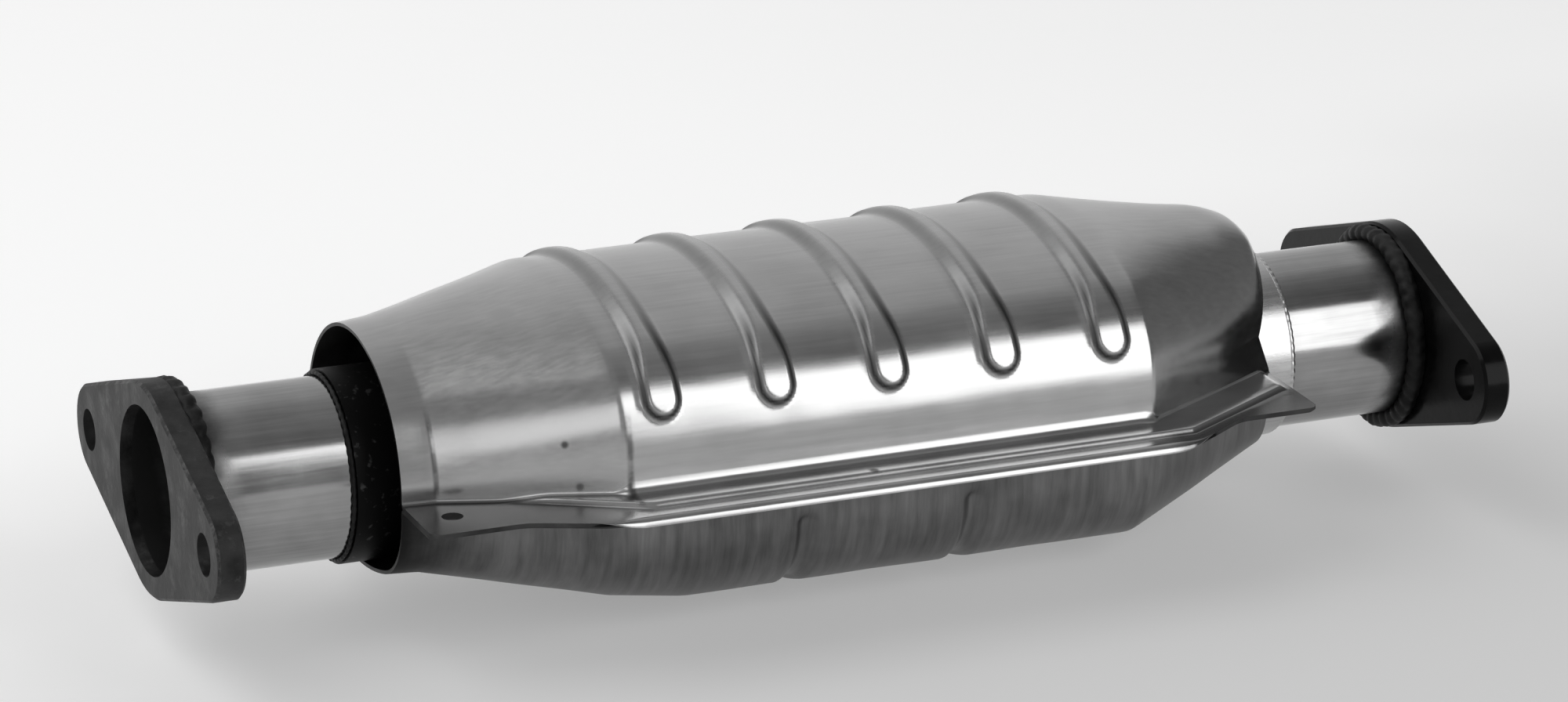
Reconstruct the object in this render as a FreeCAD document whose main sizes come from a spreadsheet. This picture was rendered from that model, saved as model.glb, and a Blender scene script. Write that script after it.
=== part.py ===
"""Direct-fit catalytic converter: oval clamshell body in a ribbed heat shield.

The frame stands where the exhaust gas enters: the origin is the centre of the inlet
flange's gasket face, +X is the way the gas flows, +Z is up, and Y runs along both
flanges.  The seam of the clamshell lies in the XY plane.  Lengths are millimetres.
"""

import FreeCAD, Part
import math
import os
import Sketcher
from FreeCAD import Vector

doc = FreeCAD.newDocument("CatalyticConverter")

# --------------------------------------------------------------------------------------
# Driving dimensions: one spreadsheet cell each
# --------------------------------------------------------------------------------------

DIMENSIONS = [
    # pipes and the flanges at their ends
    ("overallLength", 384.0, "gasket face to gasket face"),
    ("pipeDiameter", 50.8, "outside of both pipes"),
    ("pipeWall", 1.6, "wall of both pipes"),
    ("flangeThickness", 8.0, "plate of both flanges"),
    ("flangeHubWall", 5.0, "flange outline beyond the pipe"),
    ("flangeEarRadius", 13.0, "round end of the flange outline"),
    ("flangeHoleSpacing", 107.0, "between the two bolt holes"),
    ("flangeHoleDiameter", 12.0, "clearance for an M10 stud"),
    ("flangeSocketDepth", 4.5, "how far a pipe enters its flange"),
    ("flangeEdgeBreak", 0.8, "chamfer round the flange outline"),
    ("flangeWeldLeg", 4.5, "fillet weld between pipe and flange"),
    ("socketClearance", 0.1, "radial gap between pipe and socket"),
    # pressed clamshell that holds the bricks
    ("shellGauge", 1.5, "sheet of the clamshell"),
    ("shellNeckProud", 8.0, "how far each neck stands out of the shield"),
    ("shellInletNeck", 30.0, "straight neck round the inlet pipe"),
    ("shellOutletNeck", 12.0, "straight neck round the outlet pipe"),
    ("shellConeSetback", 4.0, "shell box begins behind the shield's box"),
    ("shellRearCone", 38.0, "outlet cone of the shell"),
    ("shellHalfWidth", 50.0, "outer half width of the box"),
    ("shellHalfHeight", 38.0, "outer height of each half above the seam"),
    ("neckClearance", 0.3, "radial gap between pipe and neck"),
    ("shellFlangeWidth", 16.0, "flat seam flange of each half"),
    ("seamWeldWidth", 1.2, "edge weld that closes the seam"),
    # bricks and their packing
    ("brickGap", 12.0, "mixing space between the bricks"),
    ("brickEndSpace", 3.0, "from each brick to the end of the box"),
    ("matThickness", 4.5, "swelling mat round each brick"),
    ("matSetback", 6.0, "from each end of a brick to its mat"),
    ("sealLength", 5.0, "wire-mesh ring beside each mat"),
    ("packingClearance", 0.1, "gap between packing and shell"),
    # ribbed heat shield, along the gas flow
    ("shieldGauge", 1.0, "sheet of the heat shield"),
    ("shieldStart", 60.0, "open inlet rim of the shield"),
    ("shieldLipLength", 9.0, "short straight lip behind the rim"),
    ("shieldFrontCone", 49.0, "inlet cone, lip to box"),
    ("shieldRearCone", 49.0, "rear cone, box to rim"),
    ("shieldRearSetback", 58.0, "from the rear rim to the outlet face"),
    ("lowerFloorSetback", 23.0, "from the box front to the full depth"),
    # sections of the shield: an upright wall, a rounded corner and a flatter crown
    ("boxWallHeight", 12.0, "upright wall of the box"),
    ("boxCrownRise", 6.0, "crown above the corners of the box"),
    ("inletWallHeight", 3.0, "upright wall at the inlet rim"),
    ("inletCrownRise", 3.0, "crown above the corners of the inlet rim"),
    ("rearWallHeight", 10.0, "upright wall at the rear rim"),
    ("rearCrownRise", 3.0, "crown above the corners of the rear rim"),
    ("rearHoodRise", 6.3, "top of the upper rear rim above the lower one's radius"),
    ("rearLean", 5.7, "degrees that the upper rear rim leans back"),
    # air gaps between the shield and what it covers
    ("inletSideGap", 14.1, "beside the inlet pipe, at the rim"),
    ("inletTopGap", 12.6, "over the inlet pipe, at the rim"),
    ("lipFlare", 0.8, "how much the lip opens over its length"),
    ("neckBottomGap", 1.0, "under the inlet neck"),
    ("sideGap", 7.0, "beside the shell's box"),
    ("upperGap", 9.0, "over the shell's box"),
    ("lowerGap", 5.5, "under the shell's box"),
    ("rearGap", 0.5, "round the outlet neck, at the rear rim"),
    # seam flange of the shield
    ("seamFlangeWidth", 17.0, "from the wall of the box to the edge"),
    ("stepClearance", 0.3, "gap between the shell's seam weld and the step"),
    ("flangeCornerRadius", 3.0, "rounded corners of the seam flange"),
    ("frontTabWidth", 25.0, "square tab, from the inlet rim outwards"),
    ("frontTabLength", 27.0, "square tab beside the inlet rim"),
    ("frontTabFlare", 22.0, "over which the tab widens to the flange"),
    ("rearTabWidth", 32.3, "square tab, from the rear rim outwards"),
    ("rearTabLength", 24.0, "square tab beside the rear rim"),
    ("rearTabFlare", 20.0, "over which the flange narrows to the tab"),
    ("tabHoleDiameter", 6.0, "drain hole through each front tab"),
    ("tabHoleSetback", 10.0, "from the rim to the drain hole"),
    ("lowerFlangeInset", 1.5, "lower flange stands back from the upper one"),
    # stiffening beads
    ("beadWidth", 12.0, "width of an upper bead at the sheet"),
    ("beadHeight", 2.0, "how far an upper bead stands out"),
    ("beadEndMargin", 6.7, "from each end of the box to the first bead"),
    ("beadEndHeight", 22.5, "centre of a bead's ball end above the seam"),
    ("grooveWidth", 9.0, "width of a lower groove at the sheet"),
    ("grooveDepth", 2.0, "how far a lower groove is pressed in"),
    ("grooveEndHeight", 14.0, "centre of a groove's ball end from the seam"),
]
UPPER_BEADS = 5
LOWER_GROOVES = 2

# Where the sides of every pressed section meet its crown: the slope of their radius.
MEETING_ANGLE = math.pi / 4


class Size:
    """A dimension: the spreadsheet formula that drives it and its present number."""

    def __init__(self, formula, number):
        self.formula = formula
        self.number = number

    def joined(self, sign, other, number):
        return Size("(%s %s %s)" % (self.formula, sign, other.formula), number)

    def __add__(self, other):
        other = sized(other)
        return self.joined("+", other, self.number + other.number)

    def __sub__(self, other):
        other = sized(other)
        return self.joined("-", other, self.number - other.number)

    def __mul__(self, other):
        other = sized(other)
        return self.joined("*", other, self.number * other.number)

    def __truediv__(self, other):
        other = sized(other)
        return self.joined("/", other, self.number / other.number)

    def __neg__(self):
        return self * -1


def sized(value):
    return value if isinstance(value, Size) else Size("%g" % value, float(value))


class Dimensions:
    """Reads each cell of the sheet by its alias, as a Size."""

    def __init__(self, sheet):
        self.sheet = sheet

    def __getattr__(self, alias):
        return Size("dims." + alias, float(self.sheet.get(alias)))


sheet = doc.addObject("Spreadsheet::Sheet", "dims")
for row, (alias, number, note) in enumerate(DIMENSIONS, start=1):
    sheet.set("A%d" % row, alias)
    sheet.set("B%d" % row, "%g" % number)
    sheet.set("C%d" % row, note)
    sheet.setAlias("B%d" % row, alias)
doc.recompute()
dim = Dimensions(sheet)

ZERO = sized(0)
ORIGIN_POINT = (-1, 1)
ACROSS_AXIS = -1

# --------------------------------------------------------------------------------------
# Sketch helpers
# --------------------------------------------------------------------------------------


def bind(thing, name, size):
    thing.setExpression(name, size.formula)


def origin_feature(body, role):
    return [feature for feature in body.Origin.OriginFeatures if feature.Role == role][0]


def new_body(label):
    body = doc.addObject("PartDesign::Body", label)
    body.Label = label
    return body


def new_sketch(body, name, plane, out=ZERO):
    """A sketch on an origin plane, moved out along its normal."""
    sketch = body.newObject("Sketcher::SketchObject", name)
    sketch.AttachmentSupport = (origin_feature(body, plane), [""])
    sketch.MapMode = "FlatFace"
    bind(sketch, "AttachmentOffset.Base.z", out)
    return sketch


def constrain(sketch, kind, *rest):
    """Add a constraint; a Size at the end becomes its bound value."""
    if not isinstance(rest[-1], Size):
        return sketch.addConstraint(Sketcher.Constraint(kind, *rest))
    size = rest[-1]
    index = sketch.addConstraint(Sketcher.Constraint(kind, *rest[:-1], size.number))
    bind(sketch, "Constraints[%d]" % index, size)
    return index


def pin_point(sketch, geometry, vertex, across, up):
    """Hold one vertex at its place from the sketch's origin."""
    constrain(sketch, "DistanceX", *ORIGIN_POINT, geometry, vertex, across)
    constrain(sketch, "DistanceY", *ORIGIN_POINT, geometry, vertex, up)


def draw_circle(sketch, radius, across=ZERO, up=ZERO):
    centre = Vector(across.number, up.number, 0)
    circle = sketch.addGeometry(Part.Circle(centre, Vector(0, 0, 1), radius.number), False)
    pin_point(sketch, circle, 3, across, up)
    constrain(sketch, "Radius", circle, radius)


def draw_outline(sketch, corners):
    """A closed outline of straight lines through (across, up) corners."""
    points = [Vector(across.number, up.number, 0) for across, up in corners]
    lines = []
    for start, end in zip(points, points[1:] + points[:1]):
        lines.append(sketch.addGeometry(Part.LineSegment(start, end), False))
    for line, following in zip(lines, lines[1:] + lines[:1]):
        constrain(sketch, "Coincident", line, 2, following, 1)
    for line, (across, up) in zip(lines, corners):
        pin_point(sketch, line, 1, across, up)


def corner_radius(half_width, height):
    """Radius of an arch's sides, which meet its crown at the meeting angle."""
    slack = (1 - math.sin(MEETING_ANGLE)) / math.cos(MEETING_ANGLE)
    return (height - half_width * slack) / (1 - slack)


def crown_radius(half_width, height, corner, wall):
    """Radius of the crown that runs tangent into the two corners of an arch."""
    across = half_width - corner
    up = height - wall
    return (across * across + up * up - corner * corner) / ((up - corner) * 2)


def draw_arcs(sketch, arcs, closed=False):
    """Tangent arcs, end to start; each is ((across, up), radius, from, to).

    A centre off the middle line is held; beside such arcs, tangency places the others."""
    drawn = []
    for (across, up), radius, first, last in arcs:
        circle = Part.Circle(Vector(across.number, up.number, 0), Vector(0, 0, 1), radius.number)
        drawn.append(sketch.addGeometry(Part.ArcOfCircle(circle, first, last), False))
    for arc, (centre, radius, first, last) in zip(drawn, arcs):
        if centre[0] is not ZERO or len(arcs) == 1:
            pin_point(sketch, arc, 3, *centre)
        constrain(sketch, "Radius", arc, radius)
    followers = drawn[1:] + drawn[:1] if closed else drawn[1:]
    for arc, following in zip(drawn, followers):
        constrain(sketch, "Tangent", arc, 2, following, 1)
    return drawn


def draw_arch(sketch, half_width, height, corner, wall=ZERO, end_height=None):
    """A crown between two corners that stand on upright walls, closed by its chord;
    or, with end_height, the open line above that height."""
    crown = crown_radius(half_width, height, corner, wall)
    crown_height = height - crown
    inset = half_width - corner
    meet = math.atan2((wall - crown_height).number, inset.number)
    rise = 0.0
    if end_height:
        rise = math.asin(min(1.0, (end_height - wall).number / corner.number))
    if rise < meet:
        arcs = [
            ((inset, wall), corner, rise, meet),
            ((ZERO, crown_height), crown, meet, math.pi - meet),
            ((-inset, wall), corner, math.pi - meet, math.pi - rise),
        ]
    else:
        rise = math.asin((end_height - crown_height).number / crown.number)
        arcs = [((ZERO, crown_height), crown, rise, math.pi - rise)]
    drawn = draw_arcs(sketch, arcs)
    if end_height:
        for arc, vertex in ((drawn[0], 1), (drawn[-1], 2)):
            constrain(sketch, "DistanceY", *ORIGIN_POINT, arc, vertex, end_height)
    elif wall is ZERO:
        stand_on_axis(sketch, drawn[0], 1, drawn[-1], 2, half_width)
    else:
        right = draw_wall(sketch, half_width, wall, drawn[0], 1)
        left = draw_wall(sketch, -half_width, wall, drawn[-1], 2)
        stand_on_axis(sketch, right, 1, left, 1, half_width)


def draw_wall(sketch, across, wall, arc, vertex):
    """An upright line that runs up into the end of a corner."""
    foot = Vector(across.number, 0, 0)
    line = sketch.addGeometry(Part.LineSegment(foot, foot + Vector(0, wall.number, 0)), False)
    constrain(sketch, "Tangent", line, 2, arc, vertex)
    constrain(sketch, "Vertical", line)
    return line


def draw_half_circle(sketch, radius):
    """The upper half of a circle, in three arcs that meet where those of an arch do."""
    circle = Part.Circle(Vector(), Vector(0, 0, 1), radius.number)
    turns = [0, MEETING_ANGLE, math.pi - MEETING_ANGLE, math.pi]
    drawn = []
    for first, last in zip(turns, turns[1:]):
        drawn.append(sketch.addGeometry(Part.ArcOfCircle(circle, first, last), False))
        constrain(sketch, "Coincident", drawn[-1], 3, *ORIGIN_POINT)
    constrain(sketch, "Radius", drawn[0], radius)
    meeting_height = radius * math.sin(MEETING_ANGLE)
    for arc, following in zip(drawn, drawn[1:]):
        constrain(sketch, "Coincident", arc, 2, following, 1)
        constrain(sketch, "DistanceY", *ORIGIN_POINT, arc, 2, meeting_height)
    stand_on_axis(sketch, drawn[0], 1, drawn[-1], 2, radius)


def stand_on_axis(sketch, right, right_vertex, left, left_vertex, reach):
    """Set both ends of a half outline on the X axis and join them by a chord."""
    chord = Part.LineSegment(Vector(-reach.number, 0, 0), Vector(reach.number, 0, 0))
    line = sketch.addGeometry(chord, False)
    constrain(sketch, "PointOnObject", right, right_vertex, ACROSS_AXIS)
    constrain(sketch, "PointOnObject", left, left_vertex, ACROSS_AXIS)
    constrain(sketch, "Coincident", line, 1, left, left_vertex)
    constrain(sketch, "Coincident", line, 2, right, right_vertex)


def draw_oval(sketch, half_width, half_height, corner):
    """A closed oval: a crown and a keel between two round sides."""
    crown = crown_radius(half_width, half_height, corner, ZERO)
    inset = half_width - corner
    meet = MEETING_ANGLE
    arcs = [
        ((inset, ZERO), corner, -meet, meet),
        ((ZERO, half_height - crown), crown, meet, math.pi - meet),
        ((-inset, ZERO), corner, math.pi - meet, math.pi + meet),
        ((ZERO, crown - half_height), crown, math.pi + meet, 2 * math.pi - meet),
    ]
    draw_arcs(sketch, arcs, closed=True)


# --------------------------------------------------------------------------------------
# Feature helpers
# --------------------------------------------------------------------------------------


def pad(body, name, sketch, length, pocket=False):
    feature = body.newObject("PartDesign::Pocket" if pocket else "PartDesign::Pad", name)
    feature.Profile = sketch
    bind(feature, "Length", length)
    feature.Reversed = False
    return feature


def cut_along_normal(body, name, sketch, length):
    """A pocket on the side that the sketch's normal points to."""
    feature = pad(body, name, sketch, length, pocket=True)
    feature.Reversed = True
    return feature


def revolve(body, name, sketch):
    feature = body.newObject("PartDesign::Revolution", name)
    feature.Profile = sketch
    feature.ReferenceAxis = (sketch, ["H_Axis"])
    feature.Angle = 360
    return feature


def half_section(body, name, station, half_width, height, corner, wall=ZERO):
    """One cross-section of a pressed half, standing on the seam plane."""
    sketch = new_sketch(body, name, "YZ_Plane", station)
    if half_width.number == height.number:
        draw_half_circle(sketch, half_width)
    else:
        draw_arch(sketch, half_width, height, corner, wall)
    return sketch


def pressed_sections(body, name, stations, inset=ZERO):
    """Sections at (place, half width, height, corner and perhaps wall), with the first
    three sizes after the place taken in by the inset."""
    sections = []
    for number, (station, wide, tall, corner, *wall) in enumerate(stations):
        sizes = (wide - inset, tall - inset, corner - inset, *wall)
        sections.append(half_section(body, "%s%d" % (name, number), station, *sizes))
    return sections


def lean_back(sketch, degrees):
    """Lean a section about its foot, the top towards the outlet."""
    sketch.AttachmentOffset = FreeCAD.Placement(
        sketch.AttachmentOffset.Base, FreeCAD.Rotation(Vector(1, 0, 0), degrees.number))
    sketch.setExpression("AttachmentOffset.Rotation.Angle", "%s * 1 deg" % degrees.formula)


def loft(body, name, sections):
    feature = body.newObject("PartDesign::AdditiveLoft", name)
    feature.Profile = sections[0]
    feature.Sections = sections[1:]
    feature.Ruled = True


def bead_tube(body, name, kind, station, path, round_size):
    """A round bar bent over an arched path, with ball ends: one pressed bead.

    kind is Additive or Subtractive; path is what an open arch is drawn from."""
    spine = new_sketch(body, name + "Path", "YZ_Plane", station)
    draw_arch(spine, *path)
    doc.recompute()
    ring = body.newObject("Sketcher::SketchObject", name + "Round")
    ring.AttachmentSupport = [(spine, "Edge1")]
    ring.MapMode = "NormalToEdge"
    ring.MapPathParameter = 0
    circle = ring.addGeometry(Part.Circle(Vector(), Vector(0, 0, 1), round_size.number))
    constrain(ring, "Coincident", circle, 3, *ORIGIN_POINT)
    constrain(ring, "Radius", circle, round_size)
    bar = body.newObject("PartDesign::%sPipe" % kind, name + "Bar")
    bar.Profile = ring
    bar.Spine = (spine, ["Edge%d" % number for number in range(1, len(spine.Shape.Edges) + 1)])
    lowest = min(vertex.Z for vertex in spine.Shape.Vertexes)
    for number, vertex in enumerate(spine.Shape.Vertexes, start=1):
        if vertex.Z > lowest + 1e-4:
            continue
        ball = body.newObject("PartDesign::%sSphere" % kind, "%sEnd%d" % (name, number))
        ball.AttachmentSupport = [(spine, "Vertex%d" % number)]
        ball.MapMode = "Translate"
        bind(ball, "Radius", round_size)


def pressed_sheet(label, outer, inner):
    """The sheet left between an outer form and the form of its inside."""
    sheet_part = doc.addObject("Part::Cut", label)
    sheet_part.Label = label
    sheet_part.Base = outer
    sheet_part.Tool = inner
    return sheet_part


# --------------------------------------------------------------------------------------
# Shared radii and stations
# --------------------------------------------------------------------------------------

pipe_radius = dim.pipeDiameter / 2
pipe_bore_radius = pipe_radius - dim.pipeWall
neck_bore_radius = pipe_radius + dim.neckClearance
neck_radius = neck_bore_radius + dim.shellGauge
neck_weld_leg = neck_radius - pipe_radius

lip_end = dim.shieldStart + dim.shieldLipLength
box_front = lip_end + dim.shieldFrontCone
shield_end = dim.overallLength - dim.shieldRearSetback
box_rear = shield_end - dim.shieldRearCone
box_length = box_rear - box_front

shell_start = dim.shieldStart - dim.shellNeckProud
shell_cone_front = shell_start + dim.shellInletNeck
shell_box_front = box_front + dim.shellConeSetback
shell_end = shield_end + dim.shellNeckProud
shell_cone_rear = shell_end - dim.shellOutletNeck
shell_box_rear = shell_cone_rear - dim.shellRearCone

nodes = []


def keep(part):
    nodes.append(part)
    return part


# --------------------------------------------------------------------------------------
# Flanges, pipes and their welds
# --------------------------------------------------------------------------------------


def draw_flange_outline(sketch):
    """Hub circle and two ear circles joined by straight tangents."""
    hub = pipe_radius + dim.flangeHubWall
    ear = dim.flangeEarRadius
    reach = dim.flangeHoleSpacing / 2
    lean = math.asin((hub.number - ear.number) / reach.number)
    normal = Vector(0, 0, 1)
    start = math.pi / 2 - lean
    ear_circle = Part.Circle(Vector(reach.number, 0, 0), normal, ear.number)
    far_circle = Part.Circle(Vector(-reach.number, 0, 0), normal, ear.number)
    hub_circle = Part.Circle(Vector(), normal, hub.number)
    arcs = []
    for circle, first, last in (
        (ear_circle, -start, start),
        (hub_circle, start, math.pi - start),
        (far_circle, math.pi - start, math.pi + start),
        (hub_circle, math.pi + start, 2 * math.pi - start),
    ):
        arcs.append(sketch.addGeometry(Part.ArcOfCircle(circle, first, last), False))
    for index, arc in enumerate(arcs):
        following = arcs[(index + 1) % len(arcs)]
        first = sketch.Geometry[arc].EndPoint
        last = sketch.Geometry[following].StartPoint
        tangent = sketch.addGeometry(Part.LineSegment(first, last), False)
        constrain(sketch, "Tangent", arc, 2, tangent, 1)
        constrain(sketch, "Tangent", tangent, 2, following, 1)
    for arc, across, radius in zip(arcs, (reach, ZERO, -reach, ZERO), (ear, hub, ear, hub)):
        pin_point(sketch, arc, 3, across, ZERO)
        constrain(sketch, "Radius", arc, radius)


def make_flange(label, face, into):
    """Two-bolt plate between its gasket face and the side where its pipe enters.

    face is the gasket face's station; into is +1 or -1, the way to the pipe."""
    body = new_body(label)
    start = face if into > 0 else face - dim.flangeThickness
    outline = new_sketch(body, label + "Outline", "YZ_Plane", start)
    draw_flange_outline(outline)
    plate = pad(body, label + "Plate", outline, dim.flangeThickness)
    doc.recompute()
    rim = []
    for number, edge in enumerate(plate.Shape.Edges, start=1):
        box = edge.BoundBox
        if box.XLength < 1e-6:
            rim.append("Edge%d" % number)
    broken = body.newObject("PartDesign::Chamfer", label + "EdgeBreak")
    broken.Base = (plate, rim)
    bind(broken, "Size", dim.flangeEdgeBreak)

    bore = new_sketch(body, label + "Bore", "YZ_Plane", start)
    draw_circle(bore, pipe_bore_radius)
    cut_along_normal(body, label + "BoreCut", bore, dim.flangeThickness)

    depth = dim.flangeSocketDepth
    socket_start = start + dim.flangeThickness - depth if into > 0 else start
    socket = new_sketch(body, label + "Socket", "YZ_Plane", socket_start)
    draw_circle(socket, pipe_radius + dim.socketClearance)
    cut_along_normal(body, label + "SocketCut", socket, depth)

    holes = new_sketch(body, label + "Holes", "YZ_Plane", start)
    for side in (-1, 1):
        draw_circle(holes, dim.flangeHoleDiameter / 2, dim.flangeHoleSpacing / 2 * side)
    cut_along_normal(body, label + "HoleCut", holes, dim.flangeThickness)
    return keep(body)


def make_pipe(label, start, end):
    """Straight tube from one station to the other."""
    body = new_body(label)
    ring = new_sketch(body, label + "Ring", "YZ_Plane", start)
    draw_circle(ring, pipe_radius)
    draw_circle(ring, pipe_bore_radius)
    pad(body, label + "Tube", ring, end - start)
    return keep(body)


def make_fillet_weld(label, root, away, leg):
    """Ring of weld in the corner between a pipe and a face.

    root is the station of the face; away is +1 or -1, the way the weld runs out."""
    body = new_body(label)
    profile = new_sketch(body, label + "Profile", "XZ_Plane")
    toe = root + leg * away
    corners = [(root, pipe_radius), (toe, pipe_radius), (root, pipe_radius + leg)]
    if away < 0:
        corners.reverse()
    draw_outline(profile, corners)
    revolve(body, label + "Ring", profile)
    return keep(body)


inlet_face = ZERO
outlet_face = dim.overallLength
inlet_pipe_start = dim.flangeThickness - dim.flangeSocketDepth
outlet_pipe_end = outlet_face - dim.flangeThickness + dim.flangeSocketDepth

make_flange("inlet_flange", inlet_face, 1)
make_pipe("inlet_pipe", inlet_pipe_start, shell_cone_front)
make_fillet_weld("inlet_flange_weld", dim.flangeThickness, 1, dim.flangeWeldLeg)
make_fillet_weld("inlet_neck_weld", shell_start, -1, neck_weld_leg)
make_fillet_weld("outlet_neck_weld", shell_end, 1, neck_weld_leg)
make_pipe("outlet_pipe", shell_cone_rear, outlet_pipe_end)
make_fillet_weld("outlet_flange_weld", outlet_face - dim.flangeThickness, -1, dim.flangeWeldLeg)
make_flange("outlet_flange", outlet_face, -1)

# --------------------------------------------------------------------------------------
# Clamshell body
# --------------------------------------------------------------------------------------

shell_corner = corner_radius(dim.shellHalfWidth, dim.shellHalfHeight)
shell_box = (dim.shellHalfWidth, dim.shellHalfHeight, shell_corner)
shell_neck = (neck_radius, neck_radius, neck_radius)
shell_half_stations = [
    (shell_start, *shell_neck),
    (shell_cone_front, *shell_neck),
    (shell_box_front, *shell_box),
    (shell_box_rear, *shell_box),
    (shell_cone_rear, *shell_neck),
    (shell_end, *shell_neck),
]
shell_flange_edge = dim.shellHalfWidth + dim.shellFlangeWidth
neck_flange_edge = neck_radius + dim.shellFlangeWidth


def mirrored_outline(corners):
    """A plan outline from its corners at +Y, in order along X."""
    return corners + [(along, -across) for along, across in reversed(corners)]


def shell_flange_outline(room):
    """Plan of the shell's seam flange, with room left round it."""
    return mirrored_outline([
        (shell_cone_front - room, neck_flange_edge + room),
        (shell_box_front - room, shell_flange_edge + room),
        (shell_box_rear + room, shell_flange_edge + room),
        (shell_cone_rear + room, neck_flange_edge + room),
    ])


def make_shell_half(label, placement):
    """One pressed half: neck, cone, oval box, cone, neck and the flat seam flange."""
    outer = new_body(label + "_form")
    loft(outer, label + "Loft", pressed_sections(outer, label + "Section", shell_half_stations))
    seam = new_sketch(outer, label + "Seam", "XY_Plane")
    draw_outline(seam, shell_flange_outline(ZERO))
    pad(outer, label + "Flange", seam, dim.shellGauge)

    inner = new_body(label + "_inside")
    loft(inner, label + "InsideLoft", pressed_sections(
        inner, label + "Inside", shell_half_stations, inset=dim.shellGauge))
    half = pressed_sheet(label, outer, inner)
    half.Placement = placement
    return keep(half)


UPRIGHT = FreeCAD.Placement()
TURNED_OVER = FreeCAD.Placement(Vector(), FreeCAD.Rotation(Vector(1, 0, 0), 180))
make_shell_half("upper_shell", UPRIGHT)
make_shell_half("lower_shell", TURNED_OVER)


def make_seam_weld(label, side):
    """Edge weld along the two seam flanges, from one cone end to the other."""
    body = new_body(label)
    plan = new_sketch(body, label + "Plan", "XY_Plane", -dim.shellGauge)
    inside = [
        (shell_box_front, shell_flange_edge * side),
        (shell_box_rear, shell_flange_edge * side),
    ]
    outside = [
        (shell_box_rear, (shell_flange_edge + dim.seamWeldWidth) * side),
        (shell_box_front, (shell_flange_edge + dim.seamWeldWidth) * side),
    ]
    draw_outline(plan, inside + outside)
    pad(body, label + "Bead", plan, dim.shellGauge * 2)
    return keep(body)


make_seam_weld("left_seam_weld", -1)
make_seam_weld("right_seam_weld", 1)

# --------------------------------------------------------------------------------------
# Ceramic bricks and their packing
# --------------------------------------------------------------------------------------

packing_inset = dim.shellGauge + dim.packingClearance
brick_inset = packing_inset + dim.matThickness
brick_length = (shell_box_rear - shell_box_front - dim.brickGap) / 2 - dim.brickEndSpace
mat_length = brick_length - dim.matSetback * 2
brick_starts = {
    "front": shell_box_front + dim.brickEndSpace,
    "rear": shell_box_rear - dim.brickEndSpace - brick_length,
}


def make_oval_bar(label, start, length, hollow):
    """An oval prism, solid as a brick or hollow as the packing round it."""
    body = new_body(label)
    oval = new_sketch(body, label + "Oval", "YZ_Plane", start)
    draw_oval(oval, *[size - brick_inset for size in shell_box])
    if hollow:
        draw_oval(oval, *[size - packing_inset for size in shell_box])
    pad(body, label + "Length", oval, length)
    return keep(body)


for name, start in brick_starts.items():
    make_oval_bar(name + "_monolith", start, brick_length, hollow=False)
    mat_start = start + dim.matSetback
    make_oval_bar(name + "_mat", mat_start, mat_length, hollow=True)
    seal_start = mat_start - dim.sealLength
    if name == "rear":
        seal_start = mat_start + mat_length
    make_oval_bar(name + "_mesh_seal", seal_start, dim.sealLength, hollow=True)

# --------------------------------------------------------------------------------------
# Ribbed heat shield
# --------------------------------------------------------------------------------------

shield_half_width = dim.shellHalfWidth + dim.sideGap + dim.shieldGauge
upper_height = dim.shellHalfHeight + dim.upperGap + dim.shieldGauge
lower_height = dim.shellHalfHeight + dim.lowerGap + dim.shieldGauge
lip_half_width = pipe_radius + dim.inletSideGap + dim.shieldGauge
lip_height = pipe_radius + dim.inletTopGap + dim.shieldGauge
lower_neck_height = neck_radius + dim.neckBottomGap + dim.shieldGauge
rear_rim_radius = neck_radius + dim.rearGap + dim.shieldGauge

# The upper rear cone at shares of its length: share of the way that its crown has come
# down from the box to the rear rim.  The crown stays high and then turns down.
REAR_SHOULDER = [(0.44, 0.23), (0.80, 0.40), (0.94, 0.66), (1.0, 1.0)]


def walled_section(station, half_width, height, wall, rise):
    """A section with upright walls and a crown that rises over its corners."""
    return station, half_width, height, height - wall - rise, wall


def between(first, last, share):
    return first + (last - first) * share


upper_front_stations = [
    walled_section(dim.shieldStart, lip_half_width, lip_height,
                   dim.inletWallHeight, dim.inletCrownRise),
    walled_section(lip_end, lip_half_width + dim.lipFlare, lip_height + dim.lipFlare,
                   dim.inletWallHeight, dim.inletCrownRise),
    walled_section(box_front, shield_half_width, upper_height,
                   dim.boxWallHeight, dim.boxCrownRise),
    walled_section(box_rear, shield_half_width, upper_height,
                   dim.boxWallHeight, dim.boxCrownRise),
]
hood_height = rear_rim_radius + dim.rearHoodRise
upper_rear_stations = [upper_front_stations[-1]]
for along, down in REAR_SHOULDER:
    upper_rear_stations.append(walled_section(
        box_rear + dim.shieldRearCone * along,
        between(shield_half_width, rear_rim_radius, along),
        between(upper_height, hood_height, down),
        between(dim.boxWallHeight, dim.rearWallHeight, along),
        between(dim.boxCrownRise, dim.rearCrownRise, along),
    ))

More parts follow.
